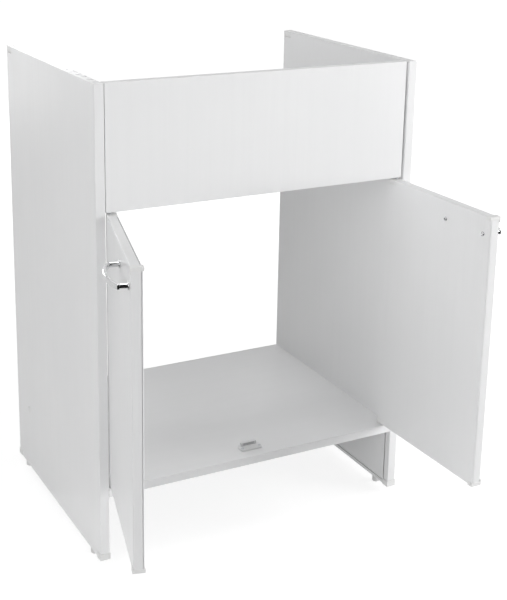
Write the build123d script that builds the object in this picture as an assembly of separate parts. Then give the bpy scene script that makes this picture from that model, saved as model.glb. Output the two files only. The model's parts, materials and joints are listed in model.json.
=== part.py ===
from build123d import *
import math
import os

# Sink base cabinet: two hollow sheet-steel sides, a fascia, a bottom shelf and two inset doors.
# Millimetres. +X is to the right, +Y to the back, +Z up. The origin is on the floor,
# at the centre of the four feet. The doors are modelled at their resting, open angle.

os.makedirs("parts", exist_ok=True)

# ---- driving dimensions: carcass ----
CABINET_WIDTH = 600.0
CABINET_DEPTH = 440.0
CABINET_HEIGHT = 830.0
SIDE_THICKNESS = 17.0
SHEET = 1.0
BEND_RADIUS = 1.6
SIDE_RETURN = 12.0
SIDE_TOP_RETURN = 12.0
SIDE_EDGE_FOLD = 2.0
SIDE_BOTTOM_RETURN = 7.0
LINER_GROOVE = 3.5
LINER_END_GAP = 1.5
LINER_EDGE_GAP = 0.3

# ---- feet ----
FOOT_HEIGHT = 12.0
FOOT_RADIUS = 7.0
FOOT_STEM_RADIUS = 4.0
FOOT_STEM_LENGTH = 6.0
FRONT_FOOT_INSET = 50.0
BACK_FOOT_INSET = 35.0

# ---- plastic caps on the sides ----
SIDE_CAP_HEIGHT = 12.0
SIDE_CAP_LENGTH = 15.0
SIDE_CAP_PROUD = 1.0
SIDE_CAP_SPIGOT = 10.0
TOP_CAP_LENGTH = 28.0
TOP_CAP_HEIGHT = 12.0

# ---- fixing slots and holes in the top of each side ----
SLOT_LENGTH = 10.0
SLOT_WIDTH = 3.2
SLOT_PITCH = 25.0
SLOT_COUNT = 5
FIRST_SLOT_INSET = 14.0
WORKTOP_HOLE_RADIUS = 2.6
FRONT_HOLE_INSET = 139.0
BACK_HOLE_INSET = 64.0
BACK_SLOT_INSET = 36.0

# ---- fascia ----
FASCIA_HEIGHT = 207.0
FASCIA_DEPTH = 17.0
FASCIA_END_GAP = 3.5
FASCIA_LEFT_GAP = 0.8
FASCIA_RIGHT_GAP = 4.8
FASCIA_TOP_LIP = 8.0
FASCIA_BACK_RETURN = 15.0
BRACKET_SHEET = 2.0
BRACKET_LEG = 28.0
BRACKET_HEIGHT = 150.0
BRACKET_SCREW_PITCH = 90.0
BRACKET_SCREW_EDGE = 11.0
FASCIA_SCREW_INSET = 9.0

# ---- bottom shelf ----
SHELF_TOP = 143.0
SHELF_THICKNESS = 16.0
SHELF_RETURN = 15.0
SHELF_BACK_INSET = 2.0
STIFFENER_WIDTH = 60.0
SHELF_SCREW_FRONT_INSET = 34.0
SHELF_SCREW_BACK_INSET = 69.0

# ---- screws ----
SCREW_RADIUS = 2.0
SCREW_HEAD_RADIUS = 4.0
SCREW_HEAD_HEIGHT = 2.2
SCREW_GRIP = 6.0
BOLT_RADIUS = 2.5
BOLT_HEAD_RADIUS = 4.2
BOLT_HEAD_HEIGHT = 3.0
BOLT_LENGTH = 12.0
NUT_RADIUS = 4.6
NUT_HEIGHT = 4.0
ACCESS_HOLE_RADIUS = 5.0
COVER_CAP_RADIUS = 6.2
COVER_CAP_HEIGHT = 1.6
COVER_CAP_PLUG = 4.0

# ---- doors ----
DOOR_THICKNESS = 17.0
DOOR_TOP_GAP = 3.5
DOOR_BOTTOM_GAP = 4.5
DOOR_HINGE_GAP = 1.6
DOOR_MEETING_GAP = 3.0
INNER_TRAY_DEPTH = 1.8
DOOR_SEAM = 0.7
DOOR_HINGE_ROUND = 2.5
CHANNEL_WIDTH = 40.0
CHANNEL_END_GAP = 30.0
LEFT_REST_ANGLE = 104.5
RIGHT_REST_ANGLE = 91.0

# ---- door pivots ----
PIVOT_EDGE = 8.5
PIVOT_FACE = 6.0
PIN_RADIUS = 2.5
PIN_ENGAGEMENT = 15.0
PIN_CLEARANCE = 0.05
PIN_HOLE_DEPTH = 17.0
COLLAR_RADIUS = 5.5
PIN_HEAD_RADIUS = 3.8
PIN_HEAD_HEIGHT = 2.0
PIN_TAIL = 9.0
HINGE_BLOCK_LENGTH = 22.0
HINGE_BLOCK_HEIGHT = 8.0
HINGE_SPIGOT = 18.0

# ---- caps on the free corners of the doors ----
DOOR_CAP_LENGTH = 10.0
DOOR_CAP_PROUD = 1.4
DOOR_CAP_END = 0.8
DOOR_CAP_PLATE = 1.0
DOOR_CAP_OUTER_LIP = 9.0
DOOR_CAP_INNER_LIP = 5.0
DOOR_CAP_PLUG_DEPTH = 14.0

# ---- handles ----
HANDLE_SPACING = 96.0
HANDLE_FREE_INSET = 17.5
HANDLE_TOP_INSET = 31.0
HANDLE_POST_RADIUS = 4.2
HANDLE_PROJECTION = 30.5
HANDLE_ARCH = 110.0
HANDLE_GRIP_THICKNESS = 5.0
HANDLE_GRIP_WIDTH = 9.0
HANDLE_GRIP_EDGE = 2.0
HANDLE_FLANGE_RADIUS = 6.8
HANDLE_FLANGE_HEIGHT = 2.5
HANDLE_THREAD = 8.0

# ---- door stop on the shelf ----
STOP_LENGTH = 42.0
STOP_WIDTH = 22.0
STOP_BASE = 3.0
STOP_CORNER = 6.5
STOP_RIB_LENGTH = 30.0
STOP_RIB_WIDTH = 7.0
STOP_RIB_HEIGHT = 9.0
STOP_DOOR_GAP = 2.0
MAGNET_LENGTH = 22.0
MAGNET_HEIGHT = 4.0
MAGNET_DEPTH = 3.0
STOP_SCREW_PITCH = 34.0
STOP_SCREW_INSET = 7.5
STOP_SCREW_RADIUS = 1.5
STOP_SCREW_HEAD_RADIUS = 2.8
STOP_SCREW_HEAD_HEIGHT = 1.2
STOP_SCREW_LENGTH = 6.0

# ---- fits ----
HOLE_CLEARANCE = 0.1
CAP_GAP = 0.2
SPIGOT_GAP = 0.3
THRUST_GAP = 0.3
THREAD_CLEARANCE = 0.05
SOFT_EDGE = 0.8

# ---- places worked out from the sizes above ----
FOOT_PITCH_Y = CABINET_DEPTH - FRONT_FOOT_INSET - BACK_FOOT_INSET
FRONT_Y = -FOOT_PITCH_Y / 2 - FRONT_FOOT_INSET
BACK_Y = FRONT_Y + CABINET_DEPTH
OUTER_X = CABINET_WIDTH / 2
INNER_X = OUTER_X - SIDE_THICKNESS
SIDE_MID_X = (OUTER_X + INNER_X) / 2
SIDE_BOTTOM = FOOT_HEIGHT
FASCIA_BOTTOM = CABINET_HEIGHT - FASCIA_HEIGHT
FASCIA_X = INNER_X - FASCIA_END_GAP
FASCIA_LEFT = -INNER_X + FASCIA_LEFT_GAP
FASCIA_RIGHT = INNER_X - FASCIA_RIGHT_GAP
SHELF_BOTTOM = SHELF_TOP - SHELF_THICKNESS
SHELF_MID_Z = (SHELF_TOP + SHELF_BOTTOM) / 2
SHELF_BACK_Y = BACK_Y - SHELF_BACK_INSET
LINER_FRONT = FRONT_Y + SIDE_RETURN + LINER_GROOVE
LINER_BACK = BACK_Y - SIDE_RETURN - LINER_GROOVE
LINER_BOTTOM = SIDE_BOTTOM + SIDE_BOTTOM_RETURN + LINER_END_GAP
LINER_TOP = CABINET_HEIGHT - SIDE_TOP_RETURN - LINER_END_GAP
LINER_EDGE_BACK = BACK_Y - SIDE_EDGE_FOLD - LINER_EDGE_GAP
LINER_EDGE_TOP = CABINET_HEIGHT - SIDE_EDGE_FOLD - LINER_EDGE_GAP
DOOR_BOTTOM = SHELF_TOP + DOOR_BOTTOM_GAP
DOOR_TOP = FASCIA_BOTTOM - DOOR_TOP_GAP
DOOR_HINGE_X = -INNER_X + DOOR_HINGE_GAP
DOOR_FREE_X = -DOOR_MEETING_GAP / 2
DOOR_BACK_Y = FRONT_Y + DOOR_THICKNESS
OUTER_TRAY_BACK = DOOR_BACK_Y - INNER_TRAY_DEPTH - DOOR_SEAM
PIVOT_X = DOOR_HINGE_X + PIVOT_EDGE
PIVOT_Y = FRONT_Y + PIVOT_FACE
HANDLE_Z = DOOR_TOP - HANDLE_TOP_INSET
HANDLE_POSTS = (
    DOOR_FREE_X - HANDLE_FREE_INSET - HANDLE_SPACING,
    DOOR_FREE_X - HANDLE_FREE_INSET,
)
STOP_Y = DOOR_BACK_Y + DOOR_CAP_PROUD + STOP_DOOR_GAP
STOP_SCREW_Y = STOP_Y + STOP_SCREW_INSET
SHELF_BOLT_Y = BACK_Y - SHELF_SCREW_BACK_INSET
SHELF_SCREW_Y = FRONT_Y + SHELF_SCREW_FRONT_INSET
SCREW_HOLE = SCREW_RADIUS + HOLE_CLEARANCE
BOLT_HOLE = BOLT_RADIUS + HOLE_CLEARANCE
PIN_HOLE = PIN_RADIUS + HOLE_CLEARANCE
STOP_SCREW_HOLE = STOP_SCREW_RADIUS + HOLE_CLEARANCE
FOOT_HOLE = FOOT_STEM_RADIUS + HOLE_CLEARANCE
THREADED_HOLE = SCREW_RADIUS + THREAD_CLEARANCE


# ---- helpers ----
def block(x_low, x_high, y_low, y_high, z_low, z_high):
    """Box between two corners."""
    centre = Pos((x_low + x_high) / 2, (y_low + y_high) / 2, (z_low + z_high) / 2)
    return centre * Box(x_high - x_low, y_high - y_low, z_high - z_low)


def soft_block(x_low, x_high, y_low, y_high, z_low, z_high, radius):
    """Box between two corners with every edge rounded."""
    plain = block(x_low, x_high, y_low, y_high, z_low, z_high)
    return fillet(plain.edges(), radius)


def rod_x(x_low, x_high, y, z, radius):
    """Round bar along X."""
    return Pos((x_low + x_high) / 2, y, z) * Rot(0, 90, 0) * Cylinder(radius, x_high - x_low)


def rod_y(x, y_low, y_high, z, radius):
    """Round bar along Y."""
    return Pos(x, (y_low + y_high) / 2, z) * Rot(90, 0, 0) * Cylinder(radius, y_high - y_low)


def rod_z(x, y, z_low, z_high, radius):
    """Round bar along Z."""
    return Pos(x, y, (z_low + z_high) / 2) * Cylinder(radius, z_high - z_low)


def cross_slot(x, y, z_low, z_high):
    """Slot cutter across a side's top edge, with round ends."""
    plate = extrude(SlotOverall(SLOT_LENGTH, SLOT_WIDTH), z_high - z_low)
    return Pos(x, y, z_low) * plate


def to_right(shape):
    """The same piece on the right-hand side."""
    return mirror(shape, about=Plane.YZ)


def as_group(shapes):
    """Several separate solids as one node."""
    solids = []
    for shape in shapes:
        solids.extend(shape.solids())
    return Compound(children=solids)


def save(shape, name):
    """Write one node."""
    export_step(shape, "parts/" + name + ".step")


# ---- sides ----
def slot_places():
    """Y of each slot along the top of a side, front to back."""
    front = [FRONT_Y + FIRST_SLOT_INSET + SLOT_PITCH * i for i in range(SLOT_COUNT)]
    return front + [BACK_Y - BACK_SLOT_INSET]


def hole_places():
    """Y of the worktop holes along the top of a side."""
    return [FRONT_Y + FRONT_HOLE_INSET, BACK_Y - BACK_HOLE_INSET]


def foot_places():
    """Y of the two feet under a side."""
    return [FRONT_Y + FRONT_FOOT_INSET, BACK_Y - BACK_FOOT_INSET]


def side_outer_skin():
    """Folded skin of the left side: five closed faces, with returns round the inner one."""
    shell = soft_block(-OUTER_X, -INNER_X, FRONT_Y, BACK_Y, SIDE_BOTTOM, CABINET_HEIGHT, BEND_RADIUS)
    shell -= block(
        -OUTER_X + SHEET, -INNER_X - SHEET, FRONT_Y + SHEET, BACK_Y - SHEET,
        SIDE_BOTTOM + SHEET, CABINET_HEIGHT - SHEET,
    )
    shell -= block(
        -INNER_X - 2 * SHEET, -INNER_X + SHEET, FRONT_Y + SIDE_RETURN, BACK_Y - SIDE_EDGE_FOLD,
        SIDE_BOTTOM + SIDE_BOTTOM_RETURN, CABINET_HEIGHT - SIDE_EDGE_FOLD,
    )
    cap_end = SIDE_CAP_LENGTH + CAP_GAP
    cap_top = SIDE_BOTTOM + SIDE_CAP_HEIGHT + CAP_GAP
    wide = OUTER_X + SHEET
    narrow = INNER_X - SHEET
    shell -= block(-wide, -narrow, FRONT_Y - SHEET, FRONT_Y + cap_end, SIDE_BOTTOM - SHEET, cap_top)
    shell -= block(-wide, -narrow, BACK_Y - cap_end, BACK_Y + SHEET, SIDE_BOTTOM - SHEET, cap_top)
    shell -= block(
        -wide, -narrow, BACK_Y - TOP_CAP_LENGTH - CAP_GAP, BACK_Y + SHEET,
        CABINET_HEIGHT - TOP_CAP_HEIGHT - CAP_GAP, CABINET_HEIGHT + SHEET,
    )
    cut_low = CABINET_HEIGHT - 2 * SHEET
    cut_high = CABINET_HEIGHT + SHEET
    for y in slot_places():
        shell -= cross_slot(-SIDE_MID_X, y, cut_low, cut_high)
    for y in hole_places():
        shell -= rod_z(-SIDE_MID_X, y, cut_low, cut_high, WORKTOP_HOLE_RADIUS)
    for y in foot_places():
        shell -= rod_z(-SIDE_MID_X, y, SIDE_BOTTOM - SHEET, SIDE_BOTTOM + 2 * SHEET, FOOT_HOLE)
    return shell - rod_x(
        -OUTER_X - SHEET, -OUTER_X + 2 * SHEET, SHELF_BOLT_Y, SHELF_MID_Z, ACCESS_HOLE_RADIUS
    )


def side_liner():
    """Tray that closes the left side. Its face runs on to the back and top edges, round the caps."""
    tray = block(-OUTER_X + SHEET, -INNER_X, LINER_FRONT, LINER_BACK, LINER_BOTTOM, LINER_TOP)
    tray -= block(
        -OUTER_X, -INNER_X - SHEET, LINER_FRONT + SHEET, LINER_BACK - SHEET,
        LINER_BOTTOM + SHEET, LINER_TOP - SHEET,
    )
    tray += block(
        -INNER_X - SHEET, -INNER_X, LINER_FRONT, LINER_EDGE_BACK, LINER_BOTTOM, LINER_EDGE_TOP
    )
    tray -= block(
        -INNER_X - 2 * SHEET, -INNER_X + SHEET, BACK_Y - TOP_CAP_LENGTH - CAP_GAP, BACK_Y,
        CABINET_HEIGHT - TOP_CAP_HEIGHT - CAP_GAP, CABINET_HEIGHT,
    )
    tray -= block(
        -INNER_X - 2 * SHEET, -INNER_X + SHEET, BACK_Y - SIDE_CAP_LENGTH - CAP_GAP, BACK_Y,
        SIDE_BOTTOM, SIDE_BOTTOM + SIDE_CAP_HEIGHT + CAP_GAP,
    )
    hole_end = -INNER_X + SHEET
    hole_start = -INNER_X - 2 * SHEET
    tray -= rod_x(hole_start, hole_end, SHELF_SCREW_Y, SHELF_MID_Z, SCREW_HOLE)
    tray -= rod_x(hole_start, hole_end, SHELF_BOLT_Y, SHELF_MID_Z, BOLT_HOLE)
    for z in bracket_screw_heights():
        tray -= rod_x(hole_start, hole_end, bracket_screw_y(), z, SCREW_HOLE)
    return tray


def side_bottom_cap(at_front):
    """Shoe on a bottom corner of the left side, with a spigot up into the hollow."""
    low = FRONT_Y - SIDE_CAP_PROUD
    high = FRONT_Y + SIDE_CAP_LENGTH
    cap = soft_block(
        -OUTER_X - SIDE_CAP_PROUD, -INNER_X + SIDE_CAP_PROUD, low, high,
        SIDE_BOTTOM, SIDE_BOTTOM + SIDE_CAP_HEIGHT, SOFT_EDGE,
    )
    inside = SHEET + SPIGOT_GAP
    cap += block(
        -OUTER_X + inside, -INNER_X - inside, FRONT_Y + inside, FRONT_Y + SIDE_RETURN - SPIGOT_GAP,
        SIDE_BOTTOM + SIDE_CAP_HEIGHT / 2, SIDE_BOTTOM + SIDE_CAP_HEIGHT + SIDE_CAP_SPIGOT,
    )
    if at_front:
        return cap
    return Pos(0, FRONT_Y + BACK_Y, 0) * mirror(cap, about=Plane.XZ)


def side_top_cap():
    """Plug that closes the back top corner of the left side."""
    cap = soft_block(
        -OUTER_X, -INNER_X, BACK_Y - TOP_CAP_LENGTH, BACK_Y,
        CABINET_HEIGHT - TOP_CAP_HEIGHT, CABINET_HEIGHT, BEND_RADIUS,
    )
    inside = SHEET + SPIGOT_GAP
    cap += block(
        -OUTER_X + inside, -INNER_X - inside,
        BACK_Y - TOP_CAP_LENGTH - SIDE_CAP_SPIGOT / 2, BACK_Y - TOP_CAP_LENGTH / 2,
        CABINET_HEIGHT - TOP_CAP_HEIGHT + SHEET, CABINET_HEIGHT - inside,
    )
    return cap


def glide_foot(x, y):
    """Push-in glide: a round pad on the floor with a stem up into the side."""
    pad = fillet(rod_z(x, y, 0, FOOT_HEIGHT, FOOT_RADIUS).edges().sort_by(Axis.Z)[:1], SOFT_EDGE)
    return pad + rod_z(x, y, FOOT_HEIGHT / 2, FOOT_HEIGHT + FOOT_STEM_LENGTH, FOOT_STEM_RADIUS)


def cover_cap():
    """Cover cap over the screw access hole in the left side."""
    disc = rod_x(-OUTER_X - COVER_CAP_HEIGHT, -OUTER_X, SHELF_BOLT_Y, SHELF_MID_Z, COVER_CAP_RADIUS)
    disc = fillet(disc.edges().sort_by(Axis.X)[:1], SOFT_EDGE)
    return disc + rod_x(
        -OUTER_X - COVER_CAP_HEIGHT / 2, -OUTER_X + COVER_CAP_PLUG, SHELF_BOLT_Y, SHELF_MID_Z,
        ACCESS_HOLE_RADIUS - HOLE_CLEARANCE,
    )


# ---- fascia and its brackets ----
def bracket_screw_heights():
    """Heights of the two screws in each leg of a fascia bracket."""
    middle = (FASCIA_BOTTOM + CABINET_HEIGHT) / 2
    return [middle - BRACKET_SCREW_PITCH / 2, middle + BRACKET_SCREW_PITCH / 2]


def bracket_screw_y():
    """Depth of the screws that hold a bracket to its side."""
    return FRONT_Y + FASCIA_DEPTH + BRACKET_LEG - BRACKET_SCREW_EDGE


def bracket_screw_x():
    """Place across the width of the screws that hold the fascia to the left bracket."""
    return -FASCIA_X + FASCIA_SCREW_INSET


def fascia_panel():
    """Folded panel across the top front: face, ends, back returns and a top flange with a lip."""
    back = FRONT_Y + FASCIA_DEPTH
    panel = soft_block(FASCIA_LEFT, FASCIA_RIGHT, FRONT_Y, back, FASCIA_BOTTOM, CABINET_HEIGHT, SHEET)
    panel -= block(
        FASCIA_LEFT + SHEET, FASCIA_RIGHT - SHEET, FRONT_Y + SHEET, back - SHEET,
        FASCIA_BOTTOM + SHEET, CABINET_HEIGHT - SHEET,
    )
    panel -= block(
        FASCIA_LEFT + FASCIA_BACK_RETURN, FASCIA_RIGHT - FASCIA_BACK_RETURN, back - 2 * SHEET,
        back + SHEET, FASCIA_BOTTOM + SHEET, CABINET_HEIGHT - FASCIA_TOP_LIP,
    )
    for x in (-bracket_screw_x(), bracket_screw_x()):
        for z in bracket_screw_heights():
            panel -= rod_y(x, back - 2 * SHEET, back + SHEET, z, SCREW_HOLE)
    for x in (-PIVOT_X, PIVOT_X):
        panel -= rod_z(x, PIVOT_Y, FASCIA_BOTTOM - SHEET, FASCIA_BOTTOM + 2 * SHEET, PIN_HOLE)
    return panel


def fascia_bracket():
    """Angle that ties the left end of the fascia to the left side."""
    middle = (FASCIA_BOTTOM + CABINET_HEIGHT) / 2
    low = middle - BRACKET_HEIGHT / 2
    high = middle + BRACKET_HEIGHT / 2
    front = FRONT_Y + FASCIA_DEPTH
    angle = block(
        -INNER_X, -FASCIA_X + FASCIA_BACK_RETURN, front, front + BRACKET_SHEET, low, high
    )
    angle += block(-INNER_X, -INNER_X + BRACKET_SHEET, front, front + BRACKET_LEG, low, high)
    for z in bracket_screw_heights():
        angle -= rod_y(bracket_screw_x(), front - SHEET, front + 2 * BRACKET_SHEET, z, SCREW_HOLE)
        angle -= rod_x(
            -INNER_X - SHEET, -INNER_X + 2 * BRACKET_SHEET, bracket_screw_y(), z, SCREW_HOLE
        )
    return angle


def screw_to_front(x, y, z):
    """Pan-head screw whose head seats at y and whose shank runs forward."""
    head = rod_y(x, y, y + SCREW_HEAD_HEIGHT, z, SCREW_HEAD_RADIUS)
    head = fillet(head.edges().sort_by(Axis.Y)[-1:], SOFT_EDGE)
    return head + rod_y(x, y - SCREW_GRIP, y + SCREW_HEAD_HEIGHT / 2, z, SCREW_RADIUS)


def screw_to_left(x, y, z):
    """Pan-head screw whose head seats at x and whose shank runs to the left."""
    head = rod_x(x, x + SCREW_HEAD_HEIGHT, y, z, SCREW_HEAD_RADIUS)
    head = fillet(head.edges().sort_by(Axis.X)[-1:], SOFT_EDGE)
    return head + rod_x(x - SCREW_GRIP, x + SCREW_HEAD_HEIGHT / 2, y, z, SCREW_RADIUS)


def bracket_screws():
    """The four screws of the left fascia bracket."""
    screws = []
    for z in bracket_screw_heights():
        screws.append(screw_to_front(bracket_screw_x(), FRONT_Y + FASCIA_DEPTH + BRACKET_SHEET, z))
        screws.append(screw_to_left(-INNER_X + BRACKET_SHEET, bracket_screw_y(), z))
    return screws


# ---- bottom shelf ----
def bottom_shelf():
    """Folded shelf between the sides, with a return under all four edges."""
    tray = block(-INNER_X, INNER_X, FRONT_Y, SHELF_BACK_Y, SHELF_BOTTOM, SHELF_TOP)
    front_edges = tray.edges().filter_by(Axis.X).sort_by(Axis.Y)[:2]
    tray = fillet(front_edges, BEND_RADIUS)
    tray -= block(
        -INNER_X + SHEET, INNER_X - SHEET, FRONT_Y + SHEET, SHELF_BACK_Y - SHEET,
        SHELF_BOTTOM + SHEET, SHELF_TOP - SHEET,
    )
    tray -= block(
        -INNER_X + SHELF_RETURN, INNER_X - SHELF_RETURN,
        FRONT_Y + SHELF_RETURN, SHELF_BACK_Y - SHELF_RETURN,
        SHELF_BOTTOM - SHEET, SHELF_BOTTOM + 2 * SHEET,
    )
    cut_low = SHELF_TOP - 2 * SHEET
    cut_high = SHELF_TOP + SHEET
    for side in (-1, 1):
        end_low = side * INNER_X - 2 * SHEET
        end_high = side * INNER_X + 2 * SHEET
        tray -= rod_z(side * PIVOT_X, PIVOT_Y, cut_low, cut_high, PIN_HOLE)
        tray -= rod_x(end_low, end_high, SHELF_SCREW_Y, SHELF_MID_Z, SCREW_HOLE)
        tray -= rod_x(end_low, end_high, SHELF_BOLT_Y, SHELF_MID_Z, BOLT_HOLE)
        tray -= rod_z(side * STOP_SCREW_PITCH / 2, STOP_SCREW_Y, cut_low, cut_high, STOP_SCREW_HOLE)
    return tray


def shelf_stiffener():
    """Channel welded under the shelf, front to back."""
    half = STIFFENER_WIDTH / 2
    low = SHELF_BOTTOM + SHEET
    high = SHELF_TOP - SHEET
    front = STOP_Y + STOP_WIDTH
    back = SHELF_BACK_Y - SHELF_RETURN
    channel = block(-half, half, front, back, low, high)
    channel -= block(-half + SHEET, half - SHEET, front - SHEET, back + SHEET, low + SHEET, high + SHEET)
    return channel


def shelf_front_screw():
    """Screw from inside the shelf's fold into the left side."""
    return screw_to_left(-INNER_X + SHEET, SHELF_SCREW_Y, SHELF_MID_Z)


def shelf_back_bolt():
    """Bolt from inside the left side through its liner and the shelf's fold."""
    seat = -INNER_X - SHEET
    head = rod_x(seat - BOLT_HEAD_HEIGHT, seat, SHELF_BOLT_Y, SHELF_MID_Z, BOLT_HEAD_RADIUS)
    shank_start = seat - BOLT_HEAD_HEIGHT / 2
    return head + rod_x(shank_start, seat + BOLT_LENGTH, SHELF_BOLT_Y, SHELF_MID_Z, BOLT_RADIUS)


def shelf_back_nut():
    """Hexagon nut on the left shelf bolt."""
    blank = extrude(RegularPolygon(NUT_RADIUS, 6), NUT_HEIGHT)
    nut = Pos(-INNER_X + SHEET, SHELF_BOLT_Y, SHELF_MID_Z) * Rot(0, 90, 0) * blank
    bore_end = -INNER_X + SHEET + 2 * NUT_HEIGHT
    return nut - rod_x(-INNER_X, bore_end, SHELF_BOLT_Y, SHELF_MID_Z, BOLT_RADIUS + THREAD_CLEARANCE)


# ---- door stop ----
def door_stop_base():
    """Plate at the middle of the shelf's front with a rib that stops both doors."""
    half = STOP_LENGTH / 2
    plate = block(-half, half, STOP_Y, STOP_Y + STOP_WIDTH, SHELF_TOP, SHELF_TOP + STOP_BASE)
    plate = fillet(plate.edges().filter_by(Axis.Z), STOP_CORNER)
    rib_front = STOP_Y + STOP_WIDTH - STOP_RIB_WIDTH
    rib = block(
        -STOP_RIB_LENGTH / 2, STOP_RIB_LENGTH / 2, rib_front, STOP_Y + STOP_WIDTH,
        SHELF_TOP + STOP_BASE / 2, SHELF_TOP + STOP_RIB_HEIGHT,
    )
    rib = fillet(rib.edges().filter_by(Axis.Z), SOFT_EDGE)
    plate += rib
    pocket = CAP_GAP / 2
    plate -= block(
        -MAGNET_LENGTH / 2 - pocket, MAGNET_LENGTH / 2 + pocket, rib_front - SHEET,
        rib_front + MAGNET_DEPTH, magnet_z() - pocket, magnet_z() + MAGNET_HEIGHT + pocket,
    )
    for side in (-1, 1):
        plate -= rod_z(
            side * STOP_SCREW_PITCH / 2, STOP_SCREW_Y, SHELF_TOP - SHEET,
            SHELF_TOP + STOP_BASE + SHEET, STOP_SCREW_HOLE,
        )
    return plate


def magnet_z():
    """Underside of the magnet in the door stop's rib."""
    return SHELF_TOP + STOP_BASE + (STOP_RIB_HEIGHT - STOP_BASE - MAGNET_HEIGHT) / 2


def door_stop_magnet():
    """Bar magnet let into the front of the rib."""
    rib_front = STOP_Y + STOP_WIDTH - STOP_RIB_WIDTH
    return block(
        -MAGNET_LENGTH / 2, MAGNET_LENGTH / 2, rib_front, rib_front + MAGNET_DEPTH,
        magnet_z(), magnet_z() + MAGNET_HEIGHT,
    )


def door_stop_screw(side):
    """Screw that holds the door stop to the shelf."""
    x = side * STOP_SCREW_PITCH / 2
    seat = SHELF_TOP + STOP_BASE
    head = rod_z(x, STOP_SCREW_Y, seat, seat + STOP_SCREW_HEAD_HEIGHT, STOP_SCREW_HEAD_RADIUS)
    shank_top = seat + STOP_SCREW_HEAD_HEIGHT / 2
    return head + rod_z(x, STOP_SCREW_Y, seat - STOP_SCREW_LENGTH, shank_top, STOP_SCREW_RADIUS)


# ---- pivot pins, fixed in the shelf and the fascia ----
def bottom_pivot_pin():
    """Left bottom pin: a collar on the shelf carries the door, the tail goes through the sheet."""
    collar = rod_z(PIVOT_X, PIVOT_Y, SHELF_TOP, DOOR_BOTTOM - THRUST_GAP, COLLAR_RADIUS)
    return collar + rod_z(PIVOT_X, PIVOT_Y, SHELF_TOP - PIN_TAIL, DOOR_BOTTOM + PIN_ENGAGEMENT, PIN_RADIUS)


def top_pivot_pin():
    """Left top pin: a head inside the fascia and a shank down into the door."""
    seat = FASCIA_BOTTOM + SHEET
    head = rod_z(PIVOT_X, PIVOT_Y, seat, seat + PIN_HEAD_HEIGHT, PIN_HEAD_RADIUS)
    return head + rod_z(PIVOT_X, PIVOT_Y, DOOR_TOP - PIN_ENGAGEMENT, seat + PIN_HEAD_HEIGHT / 2, PIN_RADIUS)


# ---- doors, built closed on the left ----
def door_height_pair(at_top):
    """The door edge that a corner piece sits on, and the direction away from the door."""
    if at_top:
        return DOOR_TOP, 1
    return DOOR_BOTTOM, -1


def upright(low_edge, first, second, direction):
    """Two heights measured inwards from a door edge, in rising order."""
    heights = [low_edge - direction * first, low_edge - direction * second]
    return min(heights), max(heights)


def hinge_notch(at_top):
    """Space that a hinge block takes out of the door's skins."""
    edge, direction = door_height_pair(at_top)
    low, high = upright(edge, -SHEET, HINGE_BLOCK_HEIGHT + CAP_GAP, direction)
    return block(
        DOOR_HINGE_X - SHEET, DOOR_HINGE_X + HINGE_BLOCK_LENGTH + CAP_GAP,
        FRONT_Y - SHEET, DOOR_BACK_Y + SHEET, low, high,
    )


def cap_plug_space(at_top, gap):
    """Space of the plug under a free-corner cap, with a gap all round."""
    edge, direction = door_height_pair(at_top)
    low, high = upright(edge, -DOOR_CAP_PLATE / 2, DOOR_CAP_PLUG_DEPTH + gap, direction)
    inside = SHEET + SPIGOT_GAP + CAP_GAP
    return block(
        DOOR_FREE_X - DOOR_CAP_LENGTH - gap, DOOR_FREE_X - inside + gap,
        FRONT_Y + inside - gap, OUTER_TRAY_BACK - inside + gap, low, high,
    )


def rounded_at_hinge(shape, inset):
    """A door piece trimmed to the rounded front edge on the hinge side, so that it swings clear."""
    envelope = block(
        DOOR_HINGE_X + inset, DOOR_FREE_X + DOOR_THICKNESS, FRONT_Y + inset,
        DOOR_BACK_Y + DOOR_THICKNESS, DOOR_BOTTOM - SHEET, DOOR_TOP + SHEET,
    )
    corner = envelope.edges().filter_by(Axis.Z).sort_by(Axis.X)[:2].sort_by(Axis.Y)[:1]
    return shape & fillet(corner, DOOR_HINGE_ROUND - inset)


def door_screw_holes():
    """Cutters for the handle screws through both skins."""
    cutters = []
    for x in HANDLE_POSTS:
        cutters.append(rod_y(x, FRONT_Y - SHEET, DOOR_BACK_Y + SHEET, HANDLE_Z, SCREW_HOLE))
    return cutters


def door_front_skin():
    """Outer tray of the door: the face and four folded edges."""
    tray = soft_block(DOOR_HINGE_X, DOOR_FREE_X, FRONT_Y, DOOR_BACK_Y, DOOR_BOTTOM, DOOR_TOP, SHEET)
    tray = rounded_at_hinge(tray, 0)
    tray -= block(
        DOOR_HINGE_X - SHEET, DOOR_FREE_X + SHEET, OUTER_TRAY_BACK, DOOR_BACK_Y + SHEET,
        DOOR_BOTTOM - SHEET, DOOR_TOP + SHEET,
    )
    hollow = block(
        DOOR_HINGE_X + SHEET, DOOR_FREE_X - SHEET, FRONT_Y + SHEET, OUTER_TRAY_BACK + SHEET,
        DOOR_BOTTOM + SHEET, DOOR_TOP - SHEET,
    )
    tray -= rounded_at_hinge(hollow, SHEET)
    for at_top in (True, False):
        tray -= hinge_notch(at_top)
        tray -= cap_plug_space(at_top, CAP_GAP)
    for cutter in door_screw_holes():
        tray -= cutter
    return tray


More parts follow.
